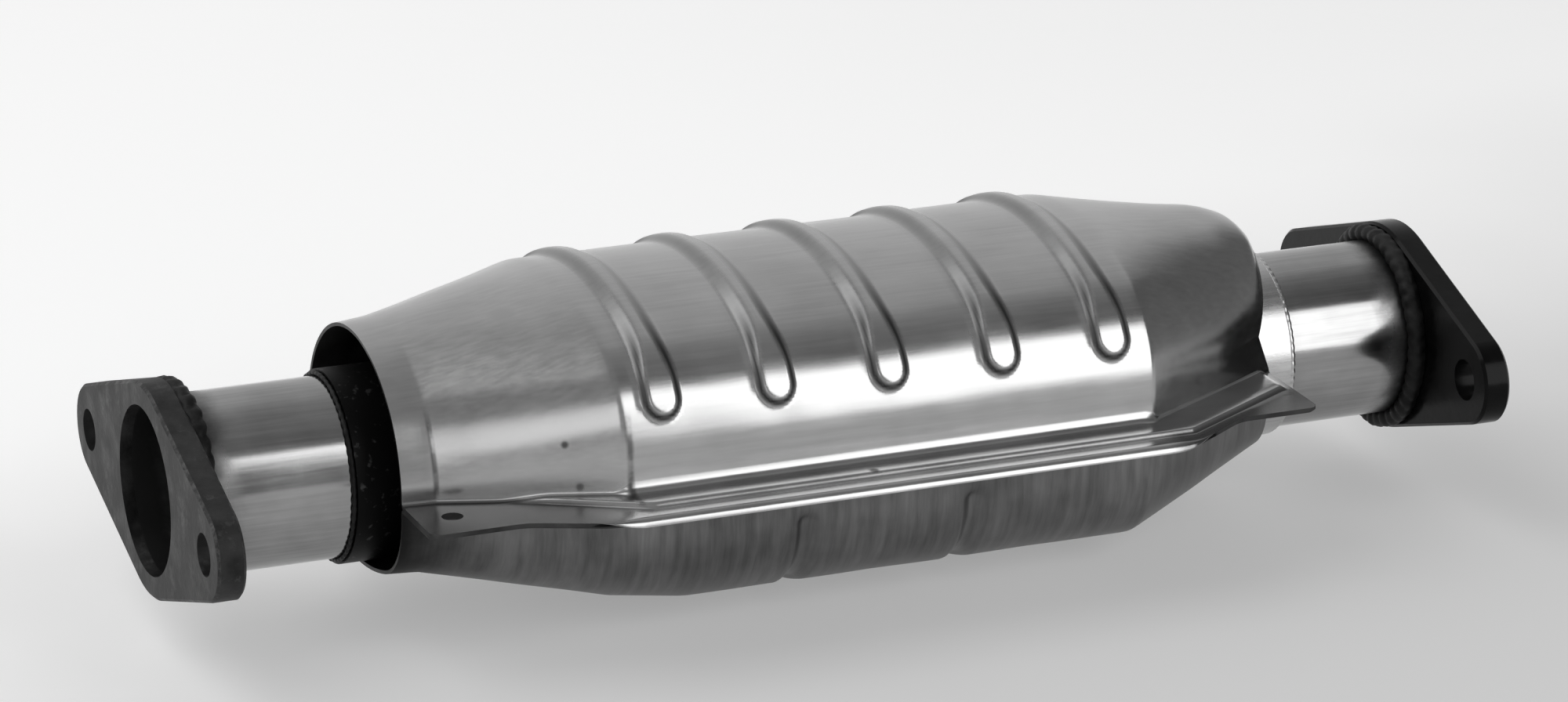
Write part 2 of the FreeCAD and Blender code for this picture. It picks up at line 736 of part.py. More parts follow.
floor_front = box_front + dim.lowerFloorSetback
lower_climb = (lower_height - lower_neck_height) / (floor_front - lip_end)
lower_step = lower_neck_height + lower_climb * (box_front - lip_end)
lower_stations = [
    walled_section(dim.shieldStart, lip_half_width, lower_neck_height,
                   dim.inletWallHeight, dim.inletCrownRise),
    walled_section(lip_end, lip_half_width + dim.lipFlare, lower_neck_height,
                   dim.inletWallHeight, dim.inletCrownRise),
    walled_section(box_front, shield_half_width, lower_step,
                   dim.boxWallHeight, dim.boxCrownRise),
    walled_section(floor_front, shield_half_width, lower_height,
                   dim.boxWallHeight, dim.boxCrownRise),
    walled_section(box_rear, shield_half_width, lower_height,
                   dim.boxWallHeight, dim.boxCrownRise),
    walled_section(shield_end, rear_rim_radius, rear_rim_radius,
                   dim.rearWallHeight, dim.rearCrownRise),
]
box_centre = box_front + box_length / 2
bead_pitch = (box_length - dim.beadEndMargin * 2 - dim.beadWidth) / (UPPER_BEADS - 1)
# Each groove lies half-way between two beads of the upper half.
groove_pitch = bead_pitch * 1.5


def press_radius(width, depth):
    """Radius of the round bar whose cap is that wide and that deep."""
    half = width / 2
    return (half * half + depth * depth) / (depth * 2)


def row_station(number, count, pitch):
    return box_centre + pitch * (number - (count - 1) / 2)


def seam_outline(inset):
    """Plan of the shield's edge, with a square tab at each end of both sides."""
    front_tab_end = dim.shieldStart + dim.frontTabLength
    rear_tab_start = shield_end - dim.rearTabLength
    front_edge = lip_half_width + dim.frontTabWidth - inset
    side_edge = shield_half_width + dim.seamFlangeWidth - inset
    rear_edge = rear_rim_radius + dim.rearTabWidth - inset
    return mirrored_outline([
        (dim.shieldStart, front_edge),
        (front_tab_end, front_edge),
        (front_tab_end + dim.frontTabFlare, side_edge),
        (rear_tab_start - dim.rearTabFlare, side_edge),
        (rear_tab_start, rear_edge),
        (shield_end, rear_edge),
    ])


def add_flange(outer, inner, label, inset):
    """Seam flange that meets the other half at its edge and steps over the shell's."""
    edge = new_sketch(outer, label + "Edge", "XY_Plane")
    draw_outline(edge, seam_outline(inset))
    rim = pad(outer, label + "Rim", edge, dim.shieldGauge)
    doc.recompute()
    corners = []
    for number, side in enumerate(rim.Shape.Edges, start=1):
        box = side.BoundBox
        upright = max(box.XLength, box.YLength) < 1e-6
        if upright and box.ZMin < 1e-6 and box.ZMax < dim.shieldGauge.number + 1e-6:
            corners.append("Edge%d" % number)
    rounded = outer.newObject("PartDesign::Fillet", label + "Corners")
    rounded.Base = (rim, corners)
    bind(rounded, "Radius", dim.flangeCornerRadius)

    room = dim.seamWeldWidth + dim.stepClearance
    step = new_sketch(outer, label + "Step", "XY_Plane")
    draw_outline(step, shell_flange_outline(room + dim.shieldGauge))
    pad(outer, label + "StepPad", step, dim.shellGauge + dim.shieldGauge)
    space = new_sketch(inner, label + "Space", "XY_Plane")
    draw_outline(space, shell_flange_outline(room))
    pad(inner, label + "SpacePad", space, dim.shellGauge)

    holes = new_sketch(outer, label + "Holes", "XY_Plane")
    hole_across = lip_half_width + dim.frontTabWidth / 2
    for side in (-1, 1):
        draw_circle(holes, dim.tabHoleDiameter / 2,
                    dim.shieldStart + dim.tabHoleSetback, hole_across * side)
    cut_along_normal(outer, label + "HoleCut", holes, dim.shieldGauge)


def make_upper_shield():
    """Upper half: open inlet rim, cones, five raised beads and the seam flange."""
    label = "upper_heat_shield"
    radius = press_radius(dim.beadWidth, dim.beadHeight)
    sunk = radius - dim.beadHeight
    wide, tall, corner, wall = upper_front_stations[-1][1:]
    path = (wide - sunk, tall - sunk, corner - sunk, wall, dim.beadEndHeight)
    forms = []
    for name, inset in (("upperForm", ZERO), ("upperInside", dim.shieldGauge)):
        body = new_body(name)
        front = pressed_sections(body, name + "Front", upper_front_stations, inset)
        loft(body, name + "FrontLoft", front)
        rear = pressed_sections(body, name + "Rear", upper_rear_stations, inset)
        lean_back(rear[-1], dim.rearLean)
        loft(body, name + "RearLoft", rear)
        for number in range(UPPER_BEADS):
            station = row_station(number, UPPER_BEADS, bead_pitch)
            bead_tube(body, "%sBead%d" % (name, number + 1), "Additive", station, path,
                      radius - inset)
        forms.append(body)
    add_flange(*forms, label, ZERO)
    return keep(pressed_sheet(label, *forms))


def make_lower_shield():
    """Lower half, turned over: two pressed-in grooves and a set-back flange."""
    label = "lower_heat_shield"
    radius = press_radius(dim.grooveWidth, dim.grooveDepth)
    proud = radius - dim.grooveDepth
    wide, tall, corner, wall = lower_stations[-2][1:]
    path = (wide + proud, tall + proud, corner + proud, wall, dim.grooveEndHeight)
    forms = []
    for name, inset in (("lowerForm", ZERO), ("lowerInside", dim.shieldGauge)):
        body = new_body(name)
        loft(body, name + "Loft", pressed_sections(body, name, lower_stations, inset))
        for number in range(LOWER_GROOVES):
            station = row_station(number, LOWER_GROOVES, groove_pitch)
            bead_tube(body, "%sGroove%d" % (name, number + 1), "Subtractive", station, path,
                      radius + inset)
        forms.append(body)
    add_flange(*forms, label, dim.lowerFlangeInset)
    shield = pressed_sheet(label, *forms)
    shield.Placement = TURNED_OVER
    return keep(shield)


make_upper_shield()
make_lower_shield()

# --------------------------------------------------------------------------------------
# Check and write every piece
# --------------------------------------------------------------------------------------

doc.recompute()
for thing in doc.Objects:
    if "Invalid" in thing.State or "Error" in thing.State:
        raise RuntimeError("%s did not build: %s" % (thing.Name, thing.State))
for node in nodes:
    if node.Shape.isNull() or not node.Shape.isValid() or len(node.Shape.Solids) != 1:
        raise RuntimeError("%s is not one valid solid" % node.Label)

os.makedirs("parts", exist_ok=True)
for node in nodes:
    node.Shape.exportStep("parts/%s.step" % node.Label)
    print("%-22s %9.1f mm3" % (node.Label, node.Shape.Volume))
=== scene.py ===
import math
import bpy
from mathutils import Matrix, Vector


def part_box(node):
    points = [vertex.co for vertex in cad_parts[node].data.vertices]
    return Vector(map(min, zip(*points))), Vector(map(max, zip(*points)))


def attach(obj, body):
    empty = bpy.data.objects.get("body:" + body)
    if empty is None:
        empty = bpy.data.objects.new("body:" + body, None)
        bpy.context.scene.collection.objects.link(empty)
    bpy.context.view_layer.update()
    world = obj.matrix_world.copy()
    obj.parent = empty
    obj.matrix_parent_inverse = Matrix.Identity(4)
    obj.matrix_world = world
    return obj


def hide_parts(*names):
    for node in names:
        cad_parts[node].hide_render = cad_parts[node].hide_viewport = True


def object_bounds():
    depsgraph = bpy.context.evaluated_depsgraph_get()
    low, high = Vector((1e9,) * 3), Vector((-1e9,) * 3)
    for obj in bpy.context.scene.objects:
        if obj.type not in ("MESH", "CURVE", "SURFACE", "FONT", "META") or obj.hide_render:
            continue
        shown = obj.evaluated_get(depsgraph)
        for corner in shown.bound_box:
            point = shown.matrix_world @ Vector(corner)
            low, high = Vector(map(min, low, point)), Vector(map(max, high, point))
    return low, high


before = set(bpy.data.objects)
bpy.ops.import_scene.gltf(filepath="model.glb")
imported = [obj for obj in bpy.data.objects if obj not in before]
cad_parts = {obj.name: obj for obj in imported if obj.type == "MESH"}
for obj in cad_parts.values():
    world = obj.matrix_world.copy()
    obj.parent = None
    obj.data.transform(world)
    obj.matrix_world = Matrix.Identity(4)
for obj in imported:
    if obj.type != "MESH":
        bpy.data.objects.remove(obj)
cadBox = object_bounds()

mm = 0.001
print("frame loaded with", len(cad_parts), "nodes")


# helpers for meshes

def newPiece(name, points, faces):
    mesh = bpy.data.meshes.new(name)
    mesh.from_pydata(points, [], faces)
    piece = bpy.data.objects.new(name, mesh)
    bpy.context.scene.collection.objects.link(piece)
    return piece


def gridFaces(rows, columns):
    faces = []
    for row in range(rows - 1):
        for column in range(columns - 1):
            first = row * columns + column
            faces.append((first, first + 1, first + columns + 1, first + columns))
    return faces


def bakeModifiers(piece):
    graph = bpy.context.evaluated_depsgraph_get()
    plain = bpy.data.meshes.new_from_object(piece.evaluated_get(graph))
    piece.modifiers.clear()
    piece.data = plain


def shadeSmooth(piece, sharpAbove):
    piece.data.polygons.foreach_set("use_smooth", [True] * len(piece.data.polygons))
    piece.data.set_sharp_from_angle(angle=math.radians(sharpAbove))


# helpers for node trees

def fillSocket(tree, socket, value):
    if isinstance(value, bpy.types.NodeSocket):
        tree.links.new(value, socket)
    elif socket.type == "RGBA":
        shade = value if isinstance(value, tuple) else (value, value, value)
        socket.default_value = (*shade, 1)
    else:
        socket.default_value = value


def addNode(tree, kind, inputs=None, **settings):
    node = tree.nodes.new(kind)
    for key, value in settings.items():
        setattr(node, key, value)
    for key, value in (inputs or {}).items():
        fillSocket(tree, node.inputs[key], value)
    return node


def mathNode(tree, operation, *values):
    node = addNode(tree, "ShaderNodeMath", dict(enumerate(values)), operation=operation)
    return node.outputs[0]


def mapRange(tree, value, low, high, toLow, toHigh):
    node = addNode(tree, "ShaderNodeMapRange", {0: value, 1: low, 2: high, 3: toLow, 4: toHigh},
                   interpolation_type="SMOOTHSTEP")
    return node.outputs[0]


def mixShade(tree, factor, first, second, blend="MIX"):
    node = addNode(tree, "ShaderNodeMix", data_type="RGBA", blend_type=blend)
    fillSocket(tree, node.inputs[0], factor)
    fillSocket(tree, node.inputs[6], first)
    fillSocket(tree, node.inputs[7], second)
    return node.outputs[2]


def rampNode(tree, factor, stops):
    stops = list(stops)
    node = addNode(tree, "ShaderNodeValToRGB", {0: factor})
    ramp = node.color_ramp
    while len(ramp.elements) < len(stops):
        ramp.elements.new(0.5)
    for element, (place, shade) in zip(ramp.elements, stops):
        element.position = place
        tint = shade if isinstance(shade, tuple) else (shade, shade, shade)
        element.color = (*tint, 1)
    return node.outputs[0]


def separate(tree, vector):
    return addNode(tree, "ShaderNodeSeparateXYZ", {0: vector}).outputs


def newMaterial(name):
    material = bpy.data.materials.new(name)
    material.use_nodes = True
    tree = material.node_tree
    tree.nodes.clear()
    output = tree.nodes.new("ShaderNodeOutputMaterial")
    shader = tree.nodes.new("ShaderNodeBsdfPrincipled")
    tree.links.new(shader.outputs[0], output.inputs[0])
    return material, tree, shader


def plainPlace(tree):
    return tree.nodes.new("ShaderNodeTexCoord").outputs["Object"]


def objectPlace(tree, scale=(1, 1, 1)):
    mapping = addNode(tree, "ShaderNodeMapping", {"Vector": plainPlace(tree), "Scale": scale})
    return mapping.outputs[0]


# 0 up to the first place in mm and 1 from the second on, whichever way they run
def fadeIn(tree, value, places):
    none, full = places
    if none < full:
        return mapRange(tree, value, none * mm, full * mm, 0.0, 1.0)
    return mapRange(tree, value, full * mm, none * mm, 1.0, 0.0)


def noiseNode(tree, vector, scale, detail=4.0, roughness=0.55):
    settings = {"Vector": vector, "Scale": scale, "Detail": detail, "Roughness": roughness}
    return addNode(tree, "ShaderNodeTexNoise", settings).outputs["Fac"]


# finishes: one recipe for all, a directed grain over soft blotches, with stains where heat,
# weld or handling has marked a piece, and painted shade where a piece lies in shade

recipe = {"blotchRange": (0.3, 0.7), "grainRange": (0.25, 0.75), "blotchInRough": 0.6,
          "grainInRough": 0.4, "grainRoughness": 0.6, "dielectricGloss": 0.5}


def metalFinish(name, look, stainAndShade=None):
    material, tree, shader = newMaterial(name)
    shader.inputs["Metallic"].default_value = look["metallic"]
    gloss = look.get("specular", recipe["dielectricGloss"])
    shader.inputs["Specular IOR Level"].default_value = gloss
    grain = noiseNode(tree, objectPlace(tree, look["grain"]), 1.0, 6.0, recipe["grainRoughness"])
    blotch = noiseNode(tree, objectPlace(tree), look["blotchScale"], 3.0)
    fine = noiseNode(tree, objectPlace(tree), look["fineScale"], 3.0)
    shade = rampNode(tree, blotch, zip(recipe["blotchRange"], (look["dark"], look["light"])))
    streaks = rampNode(tree, grain, zip(recipe["grainRange"], (0.0, 1.0)))
    shade = mixShade(tree, look["grainShare"], shade, streaks, "SOFT_LIGHT")
    mixed = mathNode(tree, "ADD", mathNode(tree, "MULTIPLY", blotch, recipe["blotchInRough"]),
                     mathNode(tree, "MULTIPLY", grain, recipe["grainInRough"]))
    rough = mapRange(tree, mixed, *recipe["blotchRange"], *look["rough"])
    if stainAndShade:
        shade, rough = stainAndShade(tree, shade, rough)
    tree.links.new(shade, shader.inputs["Base Color"])
    tree.links.new(rough, shader.inputs["Roughness"])
    height = mathNode(tree, "ADD", mathNode(tree, "MULTIPLY", grain, look["grainDepth"]),
                      mathNode(tree, "MULTIPLY", fine, look["fineDepth"]))
    bump = addNode(tree, "ShaderNodeBump", {"Height": height, "Strength": 1.0, "Distance": mm})
    tree.links.new(bump.outputs[0], shader.inputs["Normal"])
    return material


# painted shade in the creases beside the beads, small marks, painted shade along the fold lines
# and on the flat tabs; lengths in mm, and a pair of places says where each begins to show and
# where it is full
shieldMarksAndPaintedShade = {
    "creasePaintedShade": 0.05, "creaseRough": 0.45,
    # place, size, shade
    "spots": [((102.8, -51.9, 16.6), 1.5, 0.12), ((187.7, -65.9, 2.5), 2.0, 0.10),
              ((106.3, -54.0, 4.7), 1.6, 0.2), ((98.5, -14.8, 43.1), 5.0, 0.45)],
    "spotCore": 0.3,
    # place, half width, lowest and highest point
    "folds": [(69.6, 1.1, 4.0, 27.0), (119.6, 1.5, 3.0, 26.0)],
    "foldCore": 0.2, "foldFade": (2.0, 6.0), "foldPaintedShade": 0.14,
    "foldBreakScale": 160.0, "foldBreakRange": (0.35, 0.6), "foldBreakShare": (0.25, 0.9),
    "frontTab": (118.0, 100.0), "rearTab": (272.0, 280.0), "tabTop": (2.4, 1.2), "tabPaintedShade": 0.20,
}


def marksAndPaintedShadeShield(tree, shade, rough):
    look = shieldMarksAndPaintedShade
    # painted shade in the creases beside the beads
    crease = addNode(tree, "ShaderNodeAttribute", attribute_name="paintedShadeCreaseDepth").outputs["Fac"]
    shade = mixShade(tree, crease, shade, look["creasePaintedShade"])
    rough = mixShade(tree, crease, rough, look["creaseRough"])
    place = plainPlace(tree)
    for (x, y, z), size, tone in look["spots"]:
        centre = (x * mm, y * mm, z * mm)
        away = addNode(tree, "ShaderNodeVectorMath", {0: place, 1: centre}, operation="DISTANCE")
        near = mapRange(tree, away.outputs["Value"], size * mm, size * mm * look["spotCore"], 0.0,
                        1.0)
        shade = mixShade(tree, near, shade, tone)
    along, _, up = separate(tree, place)
    # painted shade along the two fold lines, broken up by noise
    foldBreakup = noiseNode(tree, place, look["foldBreakScale"], 3.0)
    below, above = look["foldFade"]
    for at, half, bottom, top in look["folds"]:
        aside = mathNode(tree, "ABSOLUTE", mathNode(tree, "SUBTRACT", along, at * mm))
        line = mathNode(tree, "MULTIPLY",
                        mapRange(tree, aside, half * mm, look["foldCore"] * mm, 0.0, 1.0),
                        mapRange(tree, foldBreakup, *look["foldBreakRange"], *look["foldBreakShare"]))
        line = mathNode(tree, "MULTIPLY", line,
                        mapRange(tree, up, top * mm, (top - above) * mm, 0.0, 1.0))
        line = mathNode(tree, "MULTIPLY", line,
                        mapRange(tree, up, (bottom - below) * mm, bottom * mm, 0.0, 1.0))
        shade = mixShade(tree, line, shade, look["foldPaintedShade"])
    # painted shade on the flat tabs at both ends
    atTabs = mathNode(tree, "ADD", fadeIn(tree, along, look["frontTab"]),
                      fadeIn(tree, along, look["rearTab"]))
    onTab = mathNode(tree, "MULTIPLY", atTabs, fadeIn(tree, up, look["tabTop"]))
    return mixShade(tree, onTab, shade, look["tabPaintedShade"]), rough


# a place that wanders to and fro, so that the edge of a stain or of a painted shade isn't
# straight; lengths in mm
def wanderAlong(tree, place, scale, detail, reach, back):
    noise = mathNode(tree, "MULTIPLY", noiseNode(tree, place, scale, detail), reach * mm)
    wander = mathNode(tree, "SUBTRACT", noise, back * mm)
    return mathNode(tree, "ADD", separate(tree, place)[0], wander)


# soot and painted shadow on the neck at the hot end, bright polished neck at the other; lengths in
# mm
neckStainAndShade = {"sootAndShadow": (100.0, 70.0), "sootAndShadowShade": 0.012, "sootAndShadowRough": 0.5,
             "speckScale": 420.0, "speckRange": (0.62, 0.72), "speckShade": 0.07}


def stainAndShadeNeck(tree, shade, rough):
    place = plainPlace(tree)
    # soot and painted shadow, darkening the neck towards the inlet
    sootAndShadow = fadeIn(tree, separate(tree, place)[0], neckStainAndShade["sootAndShadow"])
    specks = rampNode(tree, noiseNode(tree, place, neckStainAndShade["speckScale"], 2.0),
                      zip(neckStainAndShade["speckRange"], (0.0, 1.0)))
    darkened = mixShade(tree, specks, neckStainAndShade["sootAndShadowShade"], neckStainAndShade["speckShade"])
    shade = mixShade(tree, sootAndShadow, shade, darkened)
    return shade, mixShade(tree, sootAndShadow, rough, neckStainAndShade["sootAndShadowRough"])


# painted shade at the open front of the lower sheet
lowerFrontShade = {"shadeSpan": (92.0, 66.0), "scale": 90.0, "wander": 12.0, "shade": 0.02, "rough": 0.6}


def shadeLowerFront(tree, shade, rough):
    place = wanderAlong(tree, plainPlace(tree), lowerFrontShade["scale"], 4.0, lowerFrontShade["wander"], 0.0)
    # painted shade, darkest at the open front
    darkened = fadeIn(tree, place, lowerFrontShade["shadeSpan"])
    shade = mixShade(tree, darkened, shade, lowerFrontShade["shade"])
    return shade, mixShade(tree, darkened, rough, lowerFrontShade["rough"])


# heat and spatter beside the flange welds
pipeStain = {"inlet": (22.0, 9.0), "outlet": (362.0, 374.0), "scale": 90.0, "wander": 12.0,
             "shade": 0.045, "rough": 0.5}


def stainPipe(tree, shade, rough):
    wander = pipeStain["wander"]
    place = wanderAlong(tree, plainPlace(tree), pipeStain["scale"], 4.0, wander, wander / 2)
    heat = mathNode(tree, "MAXIMUM", fadeIn(tree, place, pipeStain["inlet"]),
                    fadeIn(tree, place, pipeStain["outlet"]))
    shade = mixShade(tree, heat, shade, pipeStain["shade"])
    return shade, mixShade(tree, heat, rough, pipeStain["rough"])


# rubbed metal on the broken edge of the flange and in patches on its face
edgeStain = {"edgeScale": 260.0, "edgeRange": (0.46, 0.62), "edgeShade": 0.09,
             "patchScale": 95.0, "patchRange": (0.55, 0.72), "patchShade": 0.10}


def stainEdge(tree, shade, rough):
    look = edgeStain
    facing = separate(tree, tree.nodes.new("ShaderNodeNewGeometry").outputs["Normal"])[0]
    tilt = mathNode(tree, "ABSOLUTE", facing)
    edge = mathNode(tree, "MULTIPLY", mapRange(tree, tilt, 0.2, 0.5, 0.0, 1.0),
                    mapRange(tree, tilt, 0.85, 0.97, 1.0, 0.0))
    place = plainPlace(tree)
    worn = rampNode(tree, noiseNode(tree, place, look["edgeScale"], 5.0, 0.7),
                    zip(look["edgeRange"], (0.0, 1.0)))
    patch = rampNode(tree, noiseNode(tree, place, look["patchScale"], 6.0, 0.72),
                     zip(look["patchRange"], (0.0, 1.0)))
    shade = mixShade(tree, mathNode(tree, "MULTIPLY", edge, worn), shade, look["edgeShade"])
    return mixShade(tree, patch, shade, look["patchShade"]), rough


# open square cells of the ceramic, end on, with painted shade in the holes; lengths in mm
cellLook = {"pitch": 1.27, "wall": 0.2, "softness": 0.03, "holePaintedShade": (0.05, 0.045, 0.04)}


def shadeCellHoles(tree, shade, rough):
    rim = 0.5 - cellLook["wall"] / cellLook["pitch"] / 2
    soft = cellLook["softness"]
    nearest = []
    for axis in separate(tree, plainPlace(tree))[1:3]:
        turn = mathNode(tree, "FRACT", mathNode(tree, "DIVIDE", axis, cellLook["pitch"] * mm))
        nearest.append(mathNode(tree, "ABSOLUTE", mathNode(tree, "SUBTRACT", turn, 0.5)))
    side = mathNode(tree, "MAXIMUM", *nearest)
    wall = mapRange(tree, side, rim - soft, rim + soft, 0.0, 1.0)
    # painted shade in the cell holes, the ceramic's own colour on the walls
    return mixShade(tree, wall, cellLook["holePaintedShade"], shade), rough


metalLook = {
    "upper": {"metallic": 1.0, "dark": 0.44, "light": 0.53, "rough": (0.20, 0.27),
              "grain": (40, 700, 700), "grainShare": 0.15, "blotchScale": 30.0,
              "fineScale": 1500.0, "grainDepth": 0.008, "fineDepth": 0.003},
    # the lower sheet's steel is painted darker than the upper's: painted shade on the sheet that
    # faces the floor; its streaky grain is its own
    "lower": {"metallic": 1.0, "dark": 0.12, "light": 0.21, "rough": (0.34, 0.5),
              "grain": (420, 40, 40), "grainShare": 0.4, "blotchScale": 40.0,
              "fineScale": 1200.0, "grainDepth": 0.02, "fineDepth": 0.008},
    # heat darkening and painted shadow on the inner face and the drain holes' walls
    "insideHeatAndShadow": {"metallic": 0.8, "dark": 0.02, "light": 0.06, "rough": (0.55, 0.75),
               "grain": (90, 90, 90), "grainShare": 0.3, "blotchScale": 60.0,
               "fineScale": 900.0, "grainDepth": 0.05, "fineDepth": 0.02},
    # painted shade on the sheets' cut edges
    "cutEdgeShadow": {"metallic": 0.9, "dark": 0.03, "light": 0.08, "rough": (0.4, 0.6),
                "grain": (200, 200, 200), "grainShare": 0.3, "blotchScale": 60.0,
                "fineScale": 900.0, "grainDepth": 0.02, "fineDepth": 0.01},
    "pipe": {"metallic": 1.0, "dark": 0.31, "light": 0.42, "rough": (0.12, 0.18),
             "grain": (30, 900, 900), "grainShare": 0.2, "blotchScale": 40.0,
             "fineScale": 1500.0, "grainDepth": 0.008, "fineDepth": 0.003},
    "shell": {"metallic": 1.0, "dark": 0.50, "light": 0.64, "rough": (0.22, 0.32),
              "grain": (60, 900, 900), "grainShare": 0.25, "blotchScale": 50.0,
              "fineScale": 900.0, "grainDepth": 0.012, "fineDepth": 0.02},
    "weld": {"metallic": 0.9, "dark": 0.10, "light": 0.26, "rough": (0.38, 0.6),
             "grain": (300, 300, 300), "grainShare": 0.4, "blotchScale": 160.0,
             "fineScale": 1800.0, "grainDepth": 0.05, "fineDepth": 0.02},
    "burntWeld": {"metallic": 0.3, "specular": 0.2, "dark": 0.006, "light": 0.03,
                  "rough": (0.4, 0.65),
                  "grain": (260, 260, 260), "grainShare": 0.4, "blotchScale": 140.0,
                  "fineScale": 1500.0, "grainDepth": 0.12, "fineDepth": 0.05},
    "inletFlange": {"metallic": 0.6, "dark": 0.010, "light": 0.05, "rough": (0.42, 0.7),
                    "grain": (140, 140, 140), "grainShare": 0.5, "blotchScale": 80.0,
                    "fineScale": 700.0, "grainDepth": 0.22, "fineDepth": 0.07},
    "outletFlange": {"metallic": 0.0, "specular": 0.10, "dark": 0.002, "light": 0.006,
                     "rough": (0.12, 0.24),
                     "grain": (160, 160, 160), "grainShare": 0.3, "blotchScale": 60.0,
                     "fineScale": 400.0, "grainDepth": 0.05, "fineDepth": 0.03},
    "wire": {"metallic": 1.0, "dark": 0.3, "light": 0.5, "rough": (0.4, 0.55),
             "grain": (900, 900, 900), "grainShare": 0.6, "blotchScale": 400.0,
             "fineScale": 1500.0, "grainDepth": 0.2, "fineDepth": 0.1},
    "brick": {"metallic": 0.0, "dark": (0.42, 0.39, 0.34), "light": (0.56, 0.53, 0.47),
              "rough": (0.8, 0.95), "grain": (500, 500, 500), "grainShare": 0.2,
              "blotchScale": 60.0, "fineScale": 1500.0, "grainDepth": 0.05, "fineDepth": 0.05},
    "mat": {"metallic": 0.0, "dark": (0.55, 0.54, 0.50), "light": (0.75, 0.74, 0.70),
            "rough": (0.9, 1.0), "grain": (900, 200, 900), "grainShare": 0.4,
            "blotchScale": 200.0, "fineScale": 1500.0, "grainDepth": 0.15, "fineDepth": 0.1},
}
stainsAndShades = {"upper": marksAndPaintedShadeShield, "lower": shadeLowerFront, "shell": stainAndShadeNeck, "pipe": stainPipe,
          "inletFlange": stainEdge, "brick": shadeCellHoles}
finish = {name: metalFinish(name + "Finish", look, stainsAndShades.get(name))
          for name, look in metalLook.items()}
print("finishes made:", len(finish))


# heat shield, in mm: places run along the gas flow, from the open inlet rim to the rear rim

lowerLow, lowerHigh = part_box("lower_heat_shield")
shieldStart = lowerLow[0] / mm
shieldEnd = lowerHigh[0] / mm
shield = {
    "gauge": 1.0, "footBend": 3.6, "coneFootBend": 1.0, "footGap": 0.4, "cornerRound": 3.0,
    "lipLength": 9.0, "frontCone": 49.0, "rearCone": 50.2, "floorSetback": 23.0,
    "lipWidth": 40.5, "lipFlare": 0.8, "boxWidth": 58.0, "rimWidth": 28.7,
    "wall": (3.0, 12.0, 10.0), "crownRise": (3.0, 6.0, 3.0),    # inlet rim, box, rear rim
    "tabWidth": 65.5, "tabLength": 27.0, "flare": 22.0, "edgeWidth": 75.0,
    "rearTabWidth": 61.0, "rearTabLength": 24.0, "rearFlare": 20.0,
    "leanStart": 0.55, "footRunout": 5.0, "lipRunout": 14.0, "leastWall": 0.3,
    "drainHole": 3.0, "drainSetback": 10.0, "drainAcross": 53.0,
}
# heights at the inlet rim, the end of its straight lip, the box's two ends and the rear rim
upperForm = {
    "heights": (39.0, 39.8, 48.0, 48.0, 35.0), "edgeInset": 0.0, "lip": 2.4,
    # how far the rear rim stands along the gas flow, by height
    "rimShift": [(2.0, 0.0), (12.0, -3.4), (36.0, 3.4)],
    # share of the rear cone's length, share of its drop, length of the bend
    "shoulder": [(0.44, 0.23, 5.0), (0.80, 0.40, 3.5), (0.94, 0.66, 2.0)],
}
lowerForm = {
    "heights": (28.5, 29.0, 44.5, 44.5, 28.7), "edgeInset": 1.5, "lip": 0.0, "shoulder": [],
    "rimShift": [(2.0, 0.0), (12.0, 0.0)],
}
# what the flange steps over: the shell's own seam flange and its edge weld
step = {"rise": 1.5, "room": 2.5, "width": 1.6, "fade": (0.5, 4.0),
        "outline": [(82.0, 43.2), (122.0, 66.0), (284.0, 66.0), (322.0, 43.2)]}

lipEnd = shieldStart + shield["lipLength"]
boxFront = lipEnd + shield["frontCone"]
boxRear = shieldEnd - shield["rearCone"]


# value on a line through knots (place, value, bend); each fold is rounded over its bend
def foldedLine(knots, along):
    value = knots[0][1]
    before = 0.0
    for index, ((start, low, bend), after) in enumerate(zip(knots, knots[1:])):
        slope = (after[1] - low) / (after[0] - start)
        past = along - start
        if index == 0:
            value += slope * past
        elif past > bend:
            value += (slope - before) * past
        elif past > -bend:
            value += (slope - before) * (past + bend) ** 2 / (4 * bend)
        before = slope
    return value


def easeIn(value, low, high):
    share = min(1.0, max(0.0, (value - low) / (high - low)))
    return share * share * (3 - 2 * share)


widthKnots = [(shieldStart, shield["lipWidth"], 0.5),
              (lipEnd, shield["lipWidth"] + shield["lipFlare"], 0.8),
              (boxFront, shield["boxWidth"], 1.0), (boxRear, shield["boxWidth"], 0.8),
              (shieldEnd, shield["rimWidth"], 0.5)]


def heightKnots(form):
    inlet, lip, front, rear, rim = form["heights"]
    fullDepthAt = boxFront if form["shoulder"] else boxFront + shield["floorSetback"]
    knots = [(shieldStart, inlet, 0.5), (lipEnd, lip, 1.0), (fullDepthAt, front, 2.0),
             (boxRear, rear, 2.5)]
    for along, down, bend in form["shoulder"]:
        knots.append((boxRear + shield["rearCone"] * along, rear + (rim - rear) * down, bend))
    return knots + [(shieldEnd, rim, 0.5)]


def threeKnots(values):
    inlet, box, rim = values
    return [(shieldStart, inlet, 0.5), (lipEnd, inlet, 1.0), (boxFront, box, 1.0),
            (boxRear, box, 1.0), (shieldEnd, rim, 0.5)]


def edgeKnots():
    tabEnd = shieldStart + shield["tabLength"]
    rearTab = shieldEnd - shield["rearTabLength"]
    return [(shieldStart, shield["tabWidth"], 1.0), (tabEnd, shield["tabWidth"], 3.0),
            (tabEnd + shield["flare"], shield["edgeWidth"], 3.0),
            (rearTab - shield["rearFlare"], shield["edgeWidth"], 3.0),
            (rearTab, shield["rearTabWidth"], 3.0), (shieldEnd, shield["rearTabWidth"], 1.0)]


